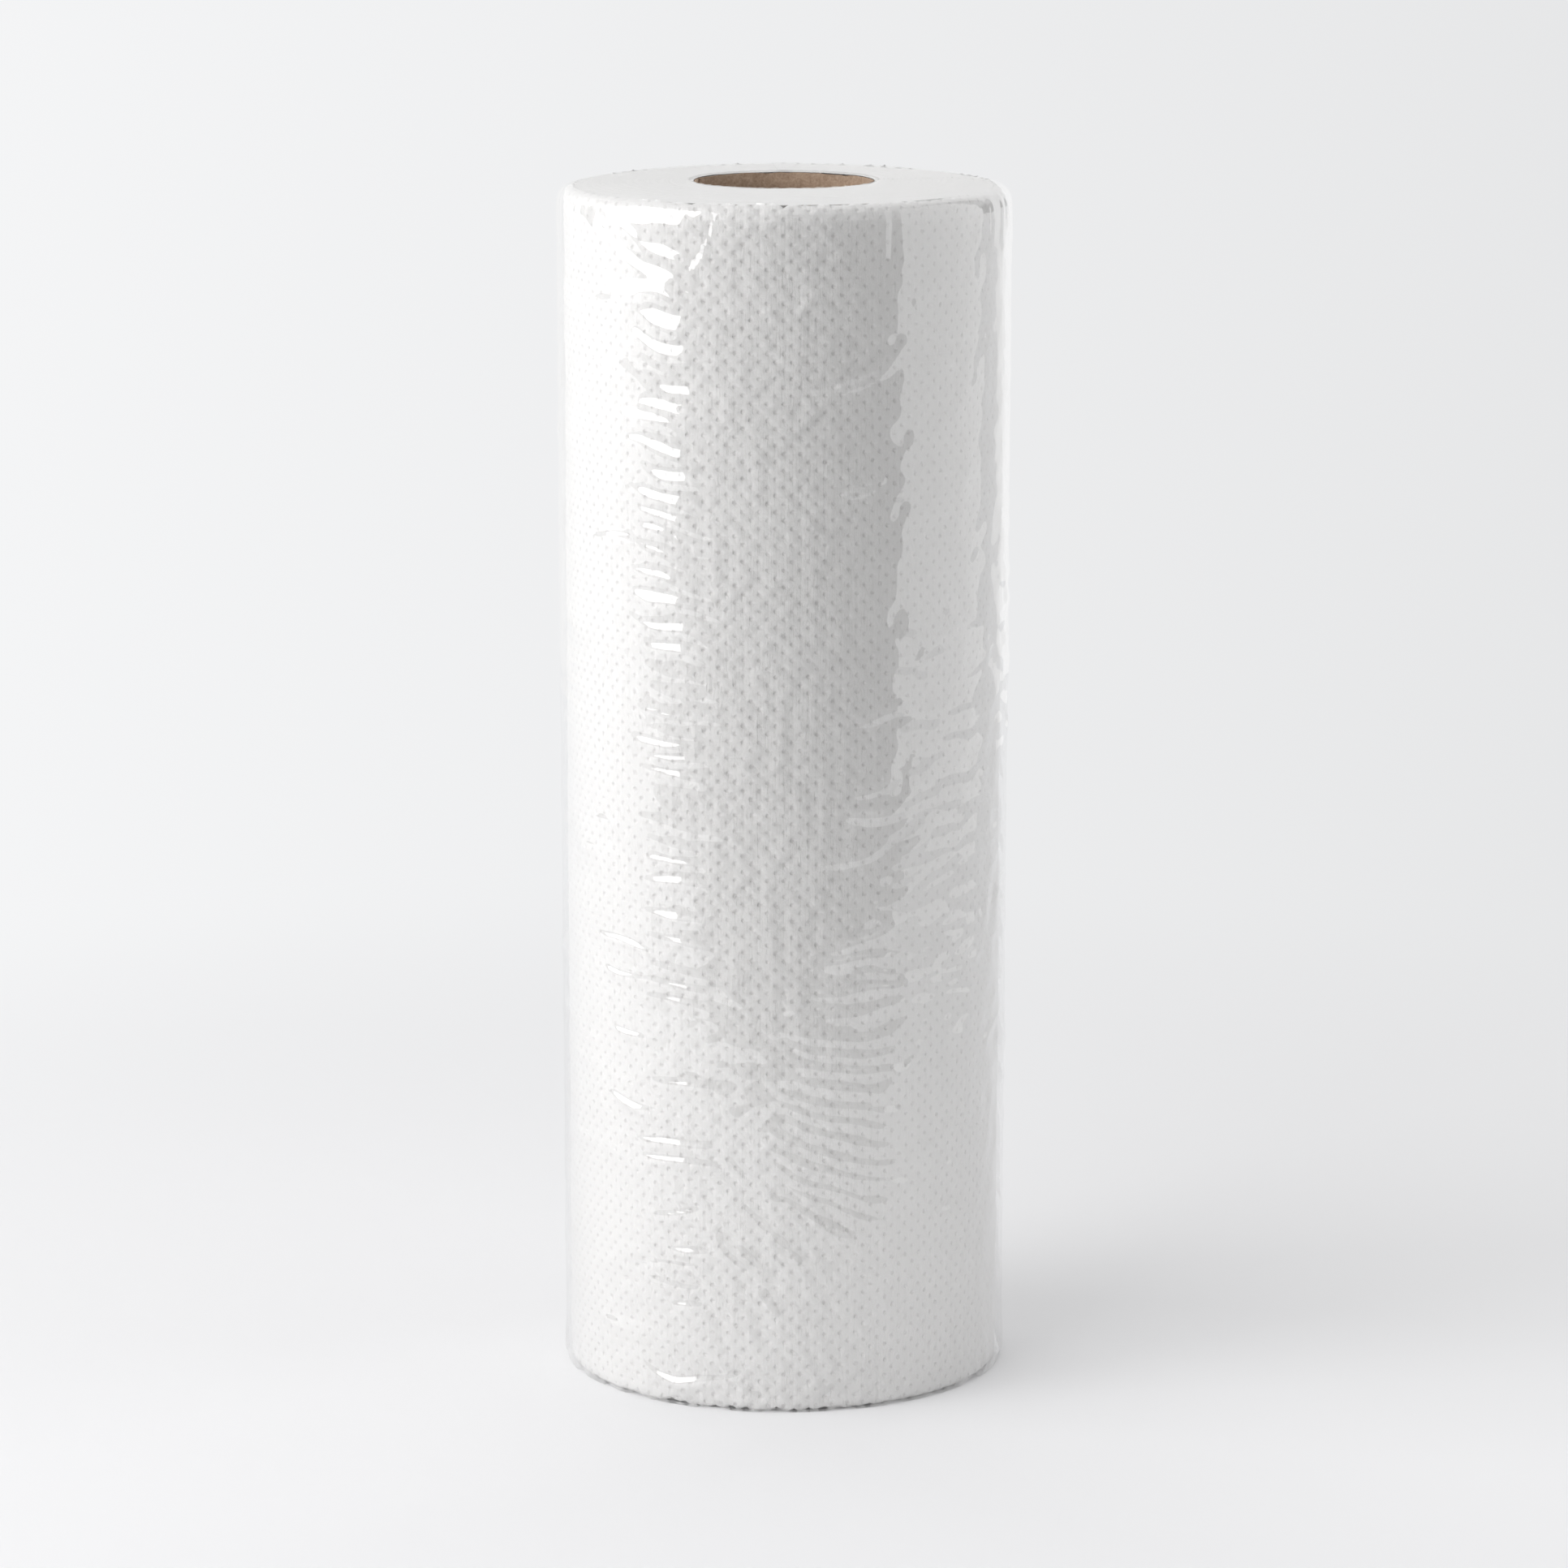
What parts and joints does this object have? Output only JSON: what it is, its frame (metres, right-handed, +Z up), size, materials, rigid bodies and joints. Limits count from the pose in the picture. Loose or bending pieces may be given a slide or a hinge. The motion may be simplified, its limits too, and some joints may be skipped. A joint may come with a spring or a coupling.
{
  "type": "paper towel roll",
  "caption": "White embossed paper towel wound on an open cardboard core, sealed in clear shrink film, standing on its end.",
  "frame": {"origin": "where the roll's axis meets the surface that it stands on, at the film's underside", "axes": "+Z up along the roll's axis; the loose tail of the last turn ends 10 degrees round from +X towards +Y"},
  "size_m": [0.104, 0.104, 0.2792],
  "materials": {
    "paperboard": "matte grey-brown spiral-wound board",
    "towel_paper": "matte white embossed two-ply tissue",
    "clear_film": "clear glossy shrink film, wrinkled"
  },
  "bodies": {
    "root": {"cardboard_core": "paperboard", "towel_roll": "towel_paper", "film_wrap": "clear_film"}
  },
  "joints": []
}
